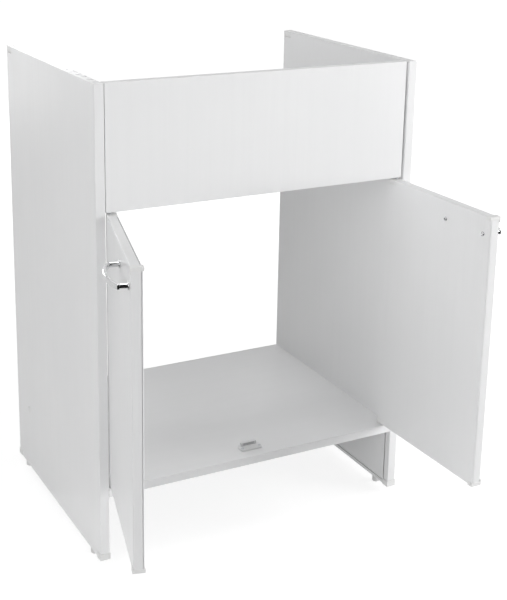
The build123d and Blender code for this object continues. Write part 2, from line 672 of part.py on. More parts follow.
def door_inner_panel():
    """Shallow inner tray that closes the back of the door."""
    tray = soft_block(DOOR_HINGE_X, DOOR_FREE_X, FRONT_Y, DOOR_BACK_Y, DOOR_BOTTOM, DOOR_TOP, SHEET)
    tray -= block(
        DOOR_HINGE_X - SHEET, DOOR_FREE_X + SHEET, FRONT_Y - SHEET, OUTER_TRAY_BACK + DOOR_SEAM,
        DOOR_BOTTOM - SHEET, DOOR_TOP + SHEET,
    )
    tray -= block(
        DOOR_HINGE_X + SHEET, DOOR_FREE_X - SHEET, FRONT_Y, DOOR_BACK_Y - SHEET,
        DOOR_BOTTOM + SHEET, DOOR_TOP - SHEET,
    )
    for at_top in (True, False):
        tray -= hinge_notch(at_top)
    for cutter in door_screw_holes():
        tray -= cutter
    return tray


def door_channel():
    """Upright channel between the door's two skins."""
    middle = (DOOR_HINGE_X + DOOR_FREE_X) / 2
    low = DOOR_BOTTOM + CHANNEL_END_GAP
    high = DOOR_TOP - CHANNEL_END_GAP
    half = CHANNEL_WIDTH / 2
    front = FRONT_Y + SHEET
    back = DOOR_BACK_Y - SHEET
    channel = block(middle - half, middle + half, front, back, low, high)
    half -= SHEET
    return channel - block(
        middle - half, middle + half, front - SHEET, back - SHEET, low - SHEET, high + SHEET
    )


def hinge_block(at_top):
    """Corner block on the hinge side, bored for its pivot pin."""
    edge, direction = door_height_pair(at_top)
    low, high = upright(edge, 0, HINGE_BLOCK_HEIGHT, direction)
    piece = soft_block(
        DOOR_HINGE_X, DOOR_HINGE_X + HINGE_BLOCK_LENGTH, FRONT_Y, DOOR_BACK_Y, low, high, SOFT_EDGE
    )
    piece = rounded_at_hinge(piece, 0)
    inside = SHEET + SPIGOT_GAP
    low, high = upright(edge, HINGE_BLOCK_HEIGHT / 2, HINGE_BLOCK_HEIGHT + HINGE_SPIGOT, direction)
    spigot = block(
        DOOR_HINGE_X + inside, DOOR_HINGE_X + HINGE_BLOCK_LENGTH - SOFT_EDGE, FRONT_Y + inside,
        DOOR_BACK_Y - inside, low, high,
    )
    piece += rounded_at_hinge(spigot, inside)
    low, high = upright(edge, -SHEET, PIN_HOLE_DEPTH, direction)
    return piece - rod_z(PIVOT_X, PIVOT_Y, low, high, PIN_RADIUS + PIN_CLEARANCE)


def free_cap(at_top):
    """Cap over a free corner: a plate, an outer and an inner lip, an end lip and a plug."""
    edge, direction = door_height_pair(at_top)
    x_low = DOOR_FREE_X - DOOR_CAP_LENGTH
    x_high = DOOR_FREE_X + DOOR_CAP_END
    y_low = FRONT_Y - DOOR_CAP_PROUD
    y_high = DOOR_BACK_Y + DOOR_CAP_PROUD
    low, high = upright(edge, -DOOR_CAP_PLATE, DOOR_CAP_INNER_LIP, direction)
    cap = block(x_low, x_high, y_low, y_high, low, high)
    low, high = upright(edge, -DOOR_CAP_PLATE, DOOR_CAP_OUTER_LIP, direction)
    cap += block(x_low, x_high, y_low, FRONT_Y, low, high)
    low, high = upright(edge, 0, 2 * DOOR_CAP_OUTER_LIP, direction)
    cap -= block(x_low - SHEET, DOOR_FREE_X, FRONT_Y, DOOR_BACK_Y, low, high)
    return cap + cap_plug_space(at_top, 0)


# ---- handles, built on the closed left door ----
def handle_bow():
    """Arched grip with soft edges on two round posts, each bored for its screw."""
    start_y = FRONT_Y - HANDLE_FLANGE_HEIGHT
    middle = (HANDLE_POSTS[0] + HANDLE_POSTS[1]) / 2
    arch_y = FRONT_Y - HANDLE_PROJECTION + HANDLE_ARCH
    low = HANDLE_Z - HANDLE_GRIP_WIDTH / 2
    high = HANDLE_Z + HANDLE_GRIP_WIDTH / 2
    reach = HANDLE_SPACING / 2 + HANDLE_POST_RADIUS
    grip = rod_z(middle, arch_y, low, high, HANDLE_ARCH)
    grip -= rod_z(middle, arch_y, low - SHEET, high + SHEET, HANDLE_ARCH - HANDLE_GRIP_THICKNESS)
    grip &= block(
        middle - reach, middle + reach, FRONT_Y - HANDLE_PROJECTION - SHEET, FRONT_Y,
        low - SHEET, high + SHEET,
    )
    bow = fillet(grip.edges(), HANDLE_GRIP_EDGE)
    centre_line = HANDLE_ARCH - HANDLE_GRIP_THICKNESS / 2
    post_end = arch_y - math.sqrt(centre_line ** 2 - (HANDLE_SPACING / 2) ** 2)
    for x in HANDLE_POSTS:
        bow += rod_y(x, post_end, start_y, HANDLE_Z, HANDLE_POST_RADIUS)
        bow -= rod_y(x, start_y - HANDLE_THREAD - SHEET, start_y + SHEET, HANDLE_Z, THREADED_HOLE)
    return bow


def handle_flange(x):
    """Round foot under one post of the handle."""
    disc = rod_y(x, FRONT_Y - HANDLE_FLANGE_HEIGHT, FRONT_Y, HANDLE_Z, HANDLE_FLANGE_RADIUS)
    disc = fillet(disc.edges().sort_by(Axis.Y)[:1], SOFT_EDGE)
    return disc - rod_y(x, FRONT_Y - 2 * HANDLE_FLANGE_HEIGHT, FRONT_Y + SHEET, HANDLE_Z, SCREW_HOLE)


def handle_screw(x):
    """Screw from the inside of the door into one post of the handle."""
    head = rod_y(x, DOOR_BACK_Y, DOOR_BACK_Y + SCREW_HEAD_HEIGHT, HANDLE_Z, SCREW_HEAD_RADIUS)
    head = fillet(head.edges().sort_by(Axis.Y)[-1:], SOFT_EDGE)
    tip = FRONT_Y - HANDLE_FLANGE_HEIGHT - HANDLE_THREAD
    return head + rod_y(x, tip, DOOR_BACK_Y + SCREW_HEAD_HEIGHT / 2, HANDLE_Z, SCREW_RADIUS)


# ---- opening a door ----
def open_left(shape):
    """Turn a piece of the closed left door to its resting angle."""
    return shape.rotate(Axis((PIVOT_X, PIVOT_Y, 0), (0, 0, -1)), LEFT_REST_ANGLE)


def open_right(shape):
    """Mirror a piece of the closed left door and turn it to the right door's resting angle."""
    return to_right(shape).rotate(Axis((-PIVOT_X, PIVOT_Y, 0), (0, 0, 1)), RIGHT_REST_ANGLE)


# ---- write the carcass ----
SIDED_PIECES = {
    "side_outer_skin": side_outer_skin(),
    "side_inner_liner": side_liner(),
    "side_front_bottom_cap": side_bottom_cap(True),
    "side_back_bottom_cap": side_bottom_cap(False),
    "side_back_top_cap": side_top_cap(),
    "fascia_bracket": fascia_bracket(),
    "bottom_pivot_pin": bottom_pivot_pin(),
    "top_pivot_pin": top_pivot_pin(),
}
for name, piece in SIDED_PIECES.items():
    save(piece, "left_" + name)
    save(to_right(piece), "right_" + name)

MIRRORED_GROUPS = {
    "glide_feet": [glide_foot(-SIDE_MID_X, y) for y in foot_places()],
    "side_cover_caps": [cover_cap()],
    "fascia_screws": bracket_screws(),
    "shelf_front_screws": [shelf_front_screw()],
    "shelf_back_bolts": [shelf_back_bolt()],
    "shelf_back_nuts": [shelf_back_nut()],
    "door_stop_screws": [door_stop_screw(-1)],
}
for name, pieces in MIRRORED_GROUPS.items():
    save(as_group(pieces + [to_right(piece) for piece in pieces]), name)

save(fascia_panel(), "fascia_panel")
save(bottom_shelf(), "bottom_shelf")
save(shelf_stiffener(), "shelf_stiffener")
save(door_stop_base(), "door_stop_base")
save(door_stop_magnet(), "door_stop_magnet")

# ---- write the doors ----
DOOR_PIECES = {
    "door_front_skin": [door_front_skin()],
    "door_inner_panel": [door_inner_panel()],
    "door_channel": [door_channel()],
    "door_top_hinge_block": [hinge_block(True)],
    "door_bottom_hinge_block": [hinge_block(False)],
    "door_top_cap": [free_cap(True)],
    "door_bottom_cap": [free_cap(False)],
    "handle_bow": [handle_bow()],
    "handle_flanges": [handle_flange(x) for x in HANDLE_POSTS],
    "handle_screws": [handle_screw(x) for x in HANDLE_POSTS],
}
for name, pieces in DOOR_PIECES.items():
    save(as_group([open_left(piece) for piece in pieces]), "left_" + name)
    save(as_group([open_right(piece) for piece in pieces]), "right_" + name)
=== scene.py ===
import bpy
import bmesh
import json
import math
from mathutils import Matrix, Vector


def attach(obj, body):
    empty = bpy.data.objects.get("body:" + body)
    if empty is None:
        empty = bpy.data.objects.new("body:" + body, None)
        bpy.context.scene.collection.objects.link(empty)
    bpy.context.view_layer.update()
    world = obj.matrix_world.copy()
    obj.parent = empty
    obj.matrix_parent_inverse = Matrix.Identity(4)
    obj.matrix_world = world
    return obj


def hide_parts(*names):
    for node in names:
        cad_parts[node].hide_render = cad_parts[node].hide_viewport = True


# Sink base cabinet in white powder-coated sheet steel: finishes, small turned and moulded details,
# studio light and camera. Metres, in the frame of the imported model.

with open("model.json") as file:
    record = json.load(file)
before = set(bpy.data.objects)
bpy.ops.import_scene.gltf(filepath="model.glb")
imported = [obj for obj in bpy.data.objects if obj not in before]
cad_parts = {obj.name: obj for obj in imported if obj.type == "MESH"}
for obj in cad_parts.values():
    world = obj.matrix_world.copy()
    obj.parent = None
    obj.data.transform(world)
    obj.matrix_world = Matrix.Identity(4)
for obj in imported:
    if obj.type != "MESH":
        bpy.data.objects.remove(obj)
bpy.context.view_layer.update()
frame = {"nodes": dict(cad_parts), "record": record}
NODES = frame["nodes"]

# ---- places of the source, in millimetres ----
MM = 0.001
PIVOT_X = 272.9
PIVOT_Y = -221.5
LEFT_REST = 104.5
RIGHT_REST = 91.0
DOOR_BACK_Y = -210.5
HANDLE_Z = 588.5
HANDLE_POSTS = (19.0, 115.0)
BRACKET_SCREW_HEIGHTS = (681.5, 771.5)
FASCIA_SCREW_PLACE = (270.5, -208.5)
BRACKET_SCREW_PLACE = (281.0, -193.5)
SHELF_SCREW_PLACE = (282.0, -193.5, 135.0)
STOP_SCREW_PLACE = (17.0, -199.6, 146.0)
COVER_CAP_PLACE = (300.0, 143.5, 135.0)
FOOT_X = 291.5
FOOT_Y = 177.5

# ---- screws, in millimetres: head radius, head height, shank radius, shank length ----
HANDLE_SCREW = (4.0, 2.2, 2.0, 27.5)
SHEET_SCREW = (4.0, 2.2, 2.0, 6.0)
STOP_SCREW = (2.8, 1.2, 1.5, 6.0)
# Head outline from the crown to the seat, as shares of the head's radius and height.
HEAD_OUTLINE = ((0, 1), (0.45, 0.99), (0.70, 0.90), (0.88, 0.68), (0.97, 0.38), (1, 0.12), (0.98, 0))
PLAIN_SHANK = 0.8
THREAD_PITCH = 0.9
THREAD_ROOT = 0.78
THREAD_VALLEY = 0.35
THREAD_CREST = 0.75
THREAD_SPARE = 1.0
# Cross recess as shares of the head: span and slot width of its radius, depth of its height.
RECESS_SPAN = 1.15
RECESS_SLOT = 0.30
RECESS_DEPTH = 0.72

# ---- turned parts, in millimetres: (radius, height) pairs ----
TURNED_STEPS = 40
COVER_CAP_OUTLINE = (
    (0, 1.42), (1.6, 1.46), (2.4, 1.58), (3.6, 1.55), (4.8, 1.32), (5.7, 0.92), (6.1, 0.45), (6.2, 0.0),
    (4.85, 0.0), (4.7, -3.2), (4.4, -4.0), (3.9, -4.0), (3.9, -0.4), (0, -0.4),
)
FOOT_OUTLINE = (
    (0, 0), (5.0, 0), (6.1, 0.3), (6.8, 1.0), (7.0, 2.0), (7.0, 8.8), (6.7, 9.2), (6.35, 9.5), (6.35, 10.2),
    (6.7, 10.5), (7.0, 10.8), (7.0, 12.0), (4.0, 12.0), (4.0, 17.2), (3.3, 18.0), (0, 18.0),
)
SHARP_ANGLE = 32.0

# ---- camera: the photograph's viewing angle ----
IMAGE_HEIGHT_PX = 600
FOCAL_PX = 1217.3
SENSOR_MM = 36.0
CAMERA_PLACE = Vector((-0.9546, -1.9479, 1.1550))
CAMERA_YAW = math.radians(27.879)
CAMERA_DOWN = math.radians(15.194)
CAMERA_ROLL = math.radians(0.953)
CAMERA_SHIFT_X = 0.0222
CAMERA_SHIFT_Y = -0.1750

# ---- studio light ----
AMBIENT = 0.16
LAMPS = {
    # name: (azimuth, elevation, distance, size, power in watts). Azimuth 0 is in front, 90 on the right.
    "right_key": (58.0, 12.0, 3.6, 2.0, 112.0),
    "left_front": (-50.0, 18.0, 3.6, 2.0, 33.0),
    "left_side": (-80.0, 18.0, 3.6, 2.0, 28.0),
    "top_soft": (0.0, 89.0, 3.6, 2.0, 42.0),
    "back_low": (180.0, 7.0, 3.6, 2.0, 52.0),
}
LAMP_TARGET = Vector((0.0, -0.1, 0.42))
FLOOR_SIZE = 60.0
FLOOR_SHADE = 0.30
FLOOR_COLOUR = 0.80
FLOOR_GLOW_NEAR = 0.80
FLOOR_GLOW_FAR = 1.0
FLOOR_GLOW_START = 0.7
FLOOR_GLOW_END = 2.6

# ---- room that only gloss sees: metres, degrees and brightness ----
ROOM_RADIUS = 6.0
ROOM_STEPS = 24
ROOM_LIFT_STEP = 8.8
ROOM_LIFT_COUNT = 11
ROOM_FRONT = (-95.0, 95.0)
ROOM_BEHIND = (95.0, 265.0)
ROOM_FLOOR_START = 0.5
ROOM_FLOOR_HEIGHT = 0.004
ROOM_FORWARD = 0.35
ROOM_DARK = 0.02
ROOM_BACK = 0.70
ROOM_BACK_LIFT = 35.0
ROOM_BACK_FLOOR = 0.75

# ---- colours ----
ENAMEL = (0.815, 0.817, 0.820)
ENAMEL_DEEP = (0.790, 0.793, 0.798)
ENAMEL_GRAIN = (0.775, 0.777, 0.781)
# Paler enamel painted on sharp edges as a highlight.
ENAMEL_EDGE_HIGHLIGHT = (0.860, 0.862, 0.865)
WHITE_PLASTIC = (0.800, 0.800, 0.795)
FOOT_PLASTIC = (0.720, 0.720, 0.715)
STOP_PLASTIC = (0.730, 0.732, 0.735)
CHROME = (0.800, 0.803, 0.810)
# Darker copy of the chrome for the screws: painted shade for their dark rims.
SHADED_SCREW_CHROME = (0.620, 0.623, 0.630)
ZINC = (0.600, 0.610, 0.630)
FERRITE = (0.400, 0.402, 0.408)

# ---- enamel: noise scales per metre (across, along), bump depths in metres, gloss ----
COARSE_GRAIN = (95.0, 2.6)
FINE_GRAIN = (420.0, 9.0)
COARSE_TINT = 0.26
FINE_TINT = 0.18
EDGE_TINT = 0.55
ENAMEL_EDGE_RADIUS = 0.0009
# Kept above 0.28: where roughness crosses about 0.274, denoised pictures show thin marks.
ENAMEL_ROUGHNESS = (0.29, 0.36)
GRAIN_ROUGHNESS = 0.02
SHEET_WAVE_DEPTH = 0.00012
COARSE_GRAIN_DEPTH = 0.000010
FINE_GRAIN_DEPTH = 0.000004
ORANGE_PEEL_DEPTH = 0.000006

# ---- other finishes: noise scales per metre, bump depths and radii in metres ----
PLASTIC_EDGE_RADIUS = 0.0008
PLASTIC_ROUGHNESS_SPREAD = 0.05
PLASTIC_GRAIN_DEPTH = 0.00002
SCRATCH_SCALE = 900.0
PATCH_SCALE = 70.0
FERRITE_GRAIN_DEPTH = 0.00003
ALONG_Z = (1.0, 1.0, 12.0)
EVEN = (1.0, 1.0, 1.0)


# ---- node helpers ----
def new_tree(name):
    """A material with a principled shader, its node tree and that shader."""
    material = bpy.data.materials.new(name)
    material.use_nodes = True
    tree = material.node_tree
    shader = tree.nodes["Principled BSDF"]
    return material, tree, shader


def put(tree, kind, settings=None, **sockets):
    """A node with settings on it, and values or links on its sockets."""
    node = tree.nodes.new(kind)
    for key, value in (settings or {}).items():
        setattr(node, key, value)
    for key, value in sockets.items():
        socket = node.inputs[key.replace("_", " ")]
        if isinstance(value, bpy.types.NodeSocket):
            tree.links.new(value, socket)
        else:
            socket.default_value = value
    return node


def noise(tree, where, scale, detail=2.0, roughness=0.5):
    """Noise value between 0 and 1 at a place."""
    node = put(tree, "ShaderNodeTexNoise", Vector=where, Scale=scale, Detail=detail, Roughness=roughness)
    return node.outputs["Fac"]


def between(tree, value, low_in, high_in, low_out, high_out):
    """A value moved from one range to another, and kept inside it."""
    node = tree.nodes.new("ShaderNodeMapRange")
    tree.links.new(value, node.inputs[0])
    for index, number in enumerate((low_in, high_in, low_out, high_out), start=1):
        node.inputs[index].default_value = number
    return node.outputs[0]


def blend_colours(tree, share, first, second):
    """Two colours mixed by a share. Each is three numbers or a socket."""
    node = put(tree, "ShaderNodeMix", {"data_type": "RGBA"})
    tree.links.new(share, node.inputs["Factor"])
    for socket, colour in ((node.inputs[6], first), (node.inputs[7], second)):
        if isinstance(colour, bpy.types.NodeSocket):
            tree.links.new(colour, socket)
        else:
            socket.default_value = (*colour, 1.0)
    return node.outputs[2]


def multiply(tree, first, second):
    """Product of a socket and a socket or number."""
    node = put(tree, "ShaderNodeMath", {"operation": "MULTIPLY"})
    tree.links.new(first, node.inputs[0])
    if isinstance(second, bpy.types.NodeSocket):
        tree.links.new(second, node.inputs[1])
    else:
        node.inputs[1].default_value = second
    return node.outputs[0]


def object_place(tree):
    """Coordinates that stay with the piece, in metres."""
    return put(tree, "ShaderNodeTexCoord").outputs["Object"]


def painted_edge_highlight(tree, where, radius, patch_scale):
    """Mask for a painted edge highlight: 1 on sharp edges, broken up by noise, and 0 on flat areas."""
    rounded = put(tree, "ShaderNodeBevel", {"samples": 4}, Radius=radius).outputs[0]
    flat = put(tree, "ShaderNodeNewGeometry").outputs["Normal"]
    dot = put(tree, "ShaderNodeVectorMath", {"operation": "DOT_PRODUCT"})
    tree.links.new(rounded, dot.inputs[0])
    tree.links.new(flat, dot.inputs[1])
    edge = between(tree, dot.outputs["Value"], 0.995, 0.90, 0.0, 1.0)
    patches = between(tree, noise(tree, where, patch_scale, 3.0), 0.35, 0.65, 0.25, 1.0)
    return multiply(tree, edge, patches)


def bumped(tree, shader, layers):
    """Bump layers (height socket, depth in metres) stacked on the shader's normal."""
    normal = None
    for height, depth in layers:
        node = put(tree, "ShaderNodeBump", Height=height, Distance=depth, Strength=1.0)
        if normal is not None:
            tree.links.new(normal, node.inputs["Normal"])
        normal = node.outputs[0]
    tree.links.new(normal, shader.inputs["Normal"])


# ---- finishes ----
def along_panel(tree, where, across, along):
    """Coordinates stretched along Z on upright faces and along X on level ones."""
    upright = put(tree, "ShaderNodeMapping", Vector=where, Scale=(across, across, along)).outputs[0]
    level = put(tree, "ShaderNodeMapping", Vector=where, Scale=(along, across, across)).outputs[0]
    normal = put(tree, "ShaderNodeTexCoord").outputs["Normal"]
    parts = put(tree, "ShaderNodeSeparateXYZ", Vector=normal)
    steep = put(tree, "ShaderNodeMath", {"operation": "ABSOLUTE"})
    tree.links.new(parts.outputs["Z"], steep.inputs[0])
    share = between(tree, steep.outputs[0], 0.6, 0.8, 0.0, 1.0)
    mix = put(tree, "ShaderNodeMix", {"data_type": "VECTOR"})
    tree.links.new(share, mix.inputs["Factor"])
    tree.links.new(upright, mix.inputs[4])
    tree.links.new(level, mix.inputs[5])
    return mix.outputs[1]


def enamel():
    """White coat: a faint straight grain, orange peel, patchy gloss and a painted highlight that makes its
    edges paler.
    """
    material, tree, shader = new_tree("white_enamel")
    where = object_place(tree)
    coarse = noise(tree, along_panel(tree, where, *COARSE_GRAIN), 1.0, 4.0, 0.62)
    fine = noise(tree, along_panel(tree, where, *FINE_GRAIN), 1.0, 3.0, 0.55)
    clouds = noise(tree, where, 3.5, 3.0)
    body = blend_colours(tree, between(tree, clouds, 0.35, 0.65, 0.0, 1.0), ENAMEL, ENAMEL_DEEP)
    body = blend_colours(tree, between(tree, coarse, 0.42, 0.66, 0.0, COARSE_TINT), body, ENAMEL_GRAIN)
    body = blend_colours(tree, between(tree, fine, 0.50, 0.72, 0.0, FINE_TINT), body, ENAMEL_GRAIN)
    # Painted highlight: sharp edges are mixed towards a paler colour.
    edge = painted_edge_highlight(tree, where, ENAMEL_EDGE_RADIUS, 60.0)
    body = blend_colours(tree, multiply(tree, edge, EDGE_TINT), body, ENAMEL_EDGE_HIGHLIGHT)
    tree.links.new(body, shader.inputs["Base Color"])
    patchy = between(tree, noise(tree, where, 14.0, 4.0, 0.6), 0.3, 0.7, *ENAMEL_ROUGHNESS)
    grained = between(tree, coarse, 0.4, 0.7, 0.0, GRAIN_ROUGHNESS)
    gloss = put(tree, "ShaderNodeMath", {"operation": "ADD"})
    tree.links.new(patchy, gloss.inputs[0])
    tree.links.new(grained, gloss.inputs[1])
    tree.links.new(gloss.outputs[0], shader.inputs["Roughness"])
    shader.inputs["Specular IOR Level"].default_value = 0.5
    bumped(tree, shader, [
        (noise(tree, where, 5.0, 1.0), SHEET_WAVE_DEPTH),
        (coarse, COARSE_GRAIN_DEPTH),
        (fine, FINE_GRAIN_DEPTH),
        (noise(tree, where, 650.0, 1.5), ORANGE_PEEL_DEPTH),
    ])
    return material


def plastic(name, colour, roughness, grain):
    """Moulded plastic with a fine spark-eroded grain, and a painted highlight that makes its edges slightly
    paler.
    """
    material, tree, shader = new_tree(name)
    where = object_place(tree)
    darker = tuple(0.95 * c for c in colour)
    body = blend_colours(tree, noise(tree, where, 40.0, 3.0), colour, darker)
    # Painted highlight: sharp edges are mixed towards a paler colour.
    edge = painted_edge_highlight(tree, where, PLASTIC_EDGE_RADIUS, 150.0)
    lighter = tuple(min(1.0, 1.06 * c) for c in colour)
    body = blend_colours(tree, multiply(tree, edge, 0.5), body, lighter)
    tree.links.new(body, shader.inputs["Base Color"])
    low, high = roughness - PLASTIC_ROUGHNESS_SPREAD, roughness + PLASTIC_ROUGHNESS_SPREAD
    rough = between(tree, noise(tree, where, 90.0, 3.0), 0.3, 0.7, low, high)
    tree.links.new(rough, shader.inputs["Roughness"])
    bumped(tree, shader, [(noise(tree, where, grain, 2.0), PLASTIC_GRAIN_DEPTH)])
    return material


def metal(name, colour, low, high, scratch_depth, stretch):
    """Plated metal: the gloss varies in patches, with fine scratches that may be stretched."""
    material, tree, shader = new_tree(name)
    where = object_place(tree)
    lines = put(tree, "ShaderNodeMapping", Vector=where, Scale=stretch).outputs[0]
    scratches = noise(tree, lines, SCRATCH_SCALE, 3.0)
    patches = noise(tree, where, PATCH_SCALE, 3.0)
    darker = tuple(0.9 * c for c in colour)
    tint = blend_colours(tree, patches, colour, darker)
    tree.links.new(tint, shader.inputs["Base Color"])
    rough = between(tree, multiply(tree, scratches, patches), 0.12, 0.38, low, high)
    tree.links.new(rough, shader.inputs["Roughness"])
    shader.inputs["Metallic"].default_value = 1.0
    bumped(tree, shader, [(scratches, scratch_depth)])
    return material


def ferrite():
    """Grey sintered magnet with a fine granular face."""
    material, tree, shader = new_tree("magnet")
    where = object_place(tree)
    lighter = tuple(1.4 * c for c in FERRITE)
    body = blend_colours(tree, noise(tree, where, 900.0, 4.0), FERRITE, lighter)
    tree.links.new(body, shader.inputs["Base Color"])
    rough = between(tree, noise(tree, where, 500.0), 0.3, 0.7, 0.45, 0.7)
    tree.links.new(rough, shader.inputs["Roughness"])
    bumped(tree, shader, [(noise(tree, where, 1500.0, 3.0), FERRITE_GRAIN_DEPTH)])
    return material


FINISHES = {
    "white_enamel": enamel(),
    "white_plastic": plastic("white_plastic", WHITE_PLASTIC, 0.42, 2200.0),
    "foot_plastic": plastic("foot_plastic", FOOT_PLASTIC, 0.50, 1800.0),
    "grey_plastic": plastic("grey_plastic", STOP_PLASTIC, 0.45, 2000.0),
    "chrome": metal("chrome", CHROME, 0.05, 0.14, 0.000004, ALONG_Z),
    # The screws' chrome is painted darker than the handle's, as shade.
    "chrome_screws": metal("chrome_screws", SHADED_SCREW_CHROME, 0.05, 0.14, 0.000006, EVEN),
    "zinc_steel": metal("zinc_steel", ZINC, 0.28, 0.42, 0.00001, EVEN),
    "magnet": ferrite(),
}


def dress(piece, finish):
    """Give a piece one finish in all its slots."""
    piece.data.materials.clear()
    piece.data.materials.append(FINISHES[finish])
    for polygon in piece.data.polygons:
        polygon.material_index = 0


for row in frame["record"]["subparts"]:
    dress(NODES[row["node"]], row["material_slot"])


# ---- detail pieces ----
def as_piece(name, build, finish, body, *nodes):
    """A finished piece from a bmesh, riding on a body in place of some nodes."""
    mesh = bpy.data.meshes.new(name)
    build.to_mesh(mesh)
    build.free()
    mesh.shade_smooth()
    mesh.set_sharp_from_angle(angle=math.radians(SHARP_ANGLE))
    piece = bpy.data.objects.new(name, mesh)
    bpy.context.scene.collection.objects.link(piece)
    dress(piece, finish)
    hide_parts(*nodes)
    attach(piece, body)
    return piece


def turned(profile, steps=TURNED_STEPS):
    """Profile of (radius, height) pairs in millimetres turned round Z."""
    build = bmesh.new()
    rings = []
    for radius, height in profile:
        count = steps if radius else 1
        turns = [2 * math.pi * k / steps for k in range(count)]
        rings.append([
            build.verts.new((MM * radius * math.cos(turn), MM * radius * math.sin(turn), MM * height))
            for turn in turns
        ])
    for low, high in zip(rings, rings[1:]):
        for k in range(steps):
            n = (k + 1) % steps
            corners = [low[k % len(low)], low[n % len(low)], high[n % len(high)], high[k % len(high)]]
            corners = list(dict.fromkeys(corners))
            if len(corners) > 2:
                build.faces.new(corners)
    bmesh.ops.recalc_face_normals(build, faces=build.faces)
    return build


def cross_outline(span, width, height):
    """Twelve corners of a cross, in millimetres."""
    s, w = span / 2, width / 2
    flat = [
        (s, w), (w, w), (w, s), (-w, s), (-w, w), (-s, w),
        (-s, -w), (-w, -w), (-w, -s), (w, -s), (w, -w), (s, -w),
    ]
    return [(MM * x, MM * y, MM * height) for x, y in flat]


def cross_cutter(head_height, span, width, depth):
    """Tapered cross that a driver's tip would fill."""
    build = bmesh.new()
    outlines = [
        cross_outline(span * 1.1, width * 1.05, head_height + 0.4),
        cross_outline(span, width, head_height - 0.1),
        cross_outline(span * 0.42, width * 0.7, head_height - depth),
    ]
    rings = [[build.verts.new(corner) for corner in outline] for outline in outlines]
    for low, high in zip(rings, rings[1:]):
        for k in range(12):
            n = (k + 1) % 12
            build.faces.new((low[k], low[n], high[n], high[k]))
    build.faces.new(rings[0])
    build.faces.new(list(reversed(rings[-1])))
    bmesh.ops.recalc_face_normals(build, faces=build.faces)
    return build


def loose_object(name, build):
    """An object from a bmesh, for use as a tool."""
    mesh = bpy.data.meshes.new(name)
    build.to_mesh(mesh)
    build.free()
    thing = bpy.data.objects.new(name, mesh)
    bpy.context.scene.collection.objects.link(thing)
    return thing


def pan_screw(head_radius, head_height, shank_radius, shank_length):
    """Mesh of a pan-head screw with a cross recess, thread ridges and a point. Its head seats at 0."""
    r, h, s, end = head_radius, head_height, shank_radius, -shank_length
    profile = [(across * r, up * h) for across, up in HEAD_OUTLINE] + [(s, 0), (s, -PLAIN_SHANK)]
    height = -PLAIN_SHANK
    while height - THREAD_SPARE > end + s:
        profile += [(THREAD_ROOT * s, height - THREAD_VALLEY), (s, height - THREAD_CREST)]
        height -= THREAD_PITCH
    profile += [(0.75 * s, end + 0.9 * s), (0.2 * s, end), (0, end)]
    screw = loose_object("screw_blank", turned(profile))
    recess = cross_cutter(h, RECESS_SPAN * r, RECESS_SLOT * r, RECESS_DEPTH * h)
    cutter = loose_object("screw_cutter", recess)
    cut = screw.modifiers.new("recess", "BOOLEAN")
    cut.operation = "DIFFERENCE"
    cut.solver = "EXACT"
    cut.object = cutter
    graph = bpy.context.evaluated_depsgraph_get()
    mesh = bpy.data.meshes.new_from_object(screw.evaluated_get(graph))
    bpy.data.objects.remove(cutter)
    bpy.data.objects.remove(screw)
    return mesh


def facing(axis, place, turn=0.0):
    """Matrix that stands +Z along an axis at a place in millimetres."""
    spin = Matrix.Rotation(math.radians(turn), 4, "Z")
    stand = Vector(axis).to_track_quat("Z", "Y").to_matrix().to_4x4()
    return Matrix.Translation(MM * Vector(place)) @ stand @ spin


def gathered(mesh, matrices):
    """Bmesh with one copy of a mesh at each matrix."""
    build = bmesh.new()
    for matrix in matrices:
        copy = mesh.copy()
        copy.transform(matrix)
        build.from_mesh(copy)
        bpy.data.meshes.remove(copy)
    return build


def door_turn(side):
    """Matrix that opens a closed door to its resting angle: side is -1 for the left door."""
    pivot = MM * Vector((side * PIVOT_X, PIVOT_Y, 0.0))
    angle = RIGHT_REST if side > 0 else -LEFT_REST
    turn = Matrix.Rotation(math.radians(angle), 4, "Z")
    return Matrix.Translation(pivot) @ turn @ Matrix.Translation(-pivot)


def make_screws():
    """Cross-recess screws in place of the plain ones."""
    long_screw = pan_screw(*HANDLE_SCREW)
    for side, word in ((-1, "left"), (1, "right")):
        places = [
            door_turn(side) @ facing((0, 1, 0), (side * x, DOOR_BACK_Y, HANDLE_Z), 20.0 + 31.0 * k)
            for k, x in enumerate(HANDLE_POSTS)
        ]
        as_piece(
            word + "_handle_cross_screws", gathered(long_screw, places), "chrome_screws",
            word + "_door", word + "_handle_screws",
        )
    short_screw = pan_screw(*SHEET_SCREW)
    places = []
    for side in (-1, 1):
        for k, z in enumerate(BRACKET_SCREW_HEIGHTS):
            x, y = FASCIA_SCREW_PLACE
            places.append(facing((0, 1, 0), (side * x, y, z), 15.0 + 40.0 * k + 20.0 * side))
            x, y = BRACKET_SCREW_PLACE
            places.append(facing((-side, 0, 0), (side * x, y, z), 50.0 - 35.0 * k + 12.0 * side))
    as_piece("fascia_cross_screws", gathered(short_screw, places), "zinc_steel", "carcass", "fascia_screws")
    x, y, z = SHELF_SCREW_PLACE
    places = [facing((-side, 0, 0), (side * x, y, z), 33.0 * side) for side in (-1, 1)]
    as_piece(
        "shelf_cross_screws", gathered(short_screw, places), "zinc_steel", "carcass", "shelf_front_screws"
    )
    stop_screw = pan_screw(*STOP_SCREW)
    x, y, z = STOP_SCREW_PLACE
    places = [facing((0, 0, 1), (side * x, y, z), 24.0 + 30.0 * side) for side in (-1, 1)]
    as_piece(
        "door_stop_cross_screws", gathered(stop_screw, places), "zinc_steel", "carcass", "door_stop_screws"
    )


def make_cover_caps():
    """Domed covers over the shelf bolts' access holes, with a hollow plug."""
    cap = loose_object("cap_blank", turned(COVER_CAP_OUTLINE))
    x, y, z = COVER_CAP_PLACE
    places = [facing((side, 0, 0), (side * x, y, z)) for side in (-1, 1)]
    build = gathered(cap.data, places)
    bpy.data.objects.remove(cap)
    as_piece("side_dome_caps", build, "white_plastic", "carcass", "side_cover_caps")


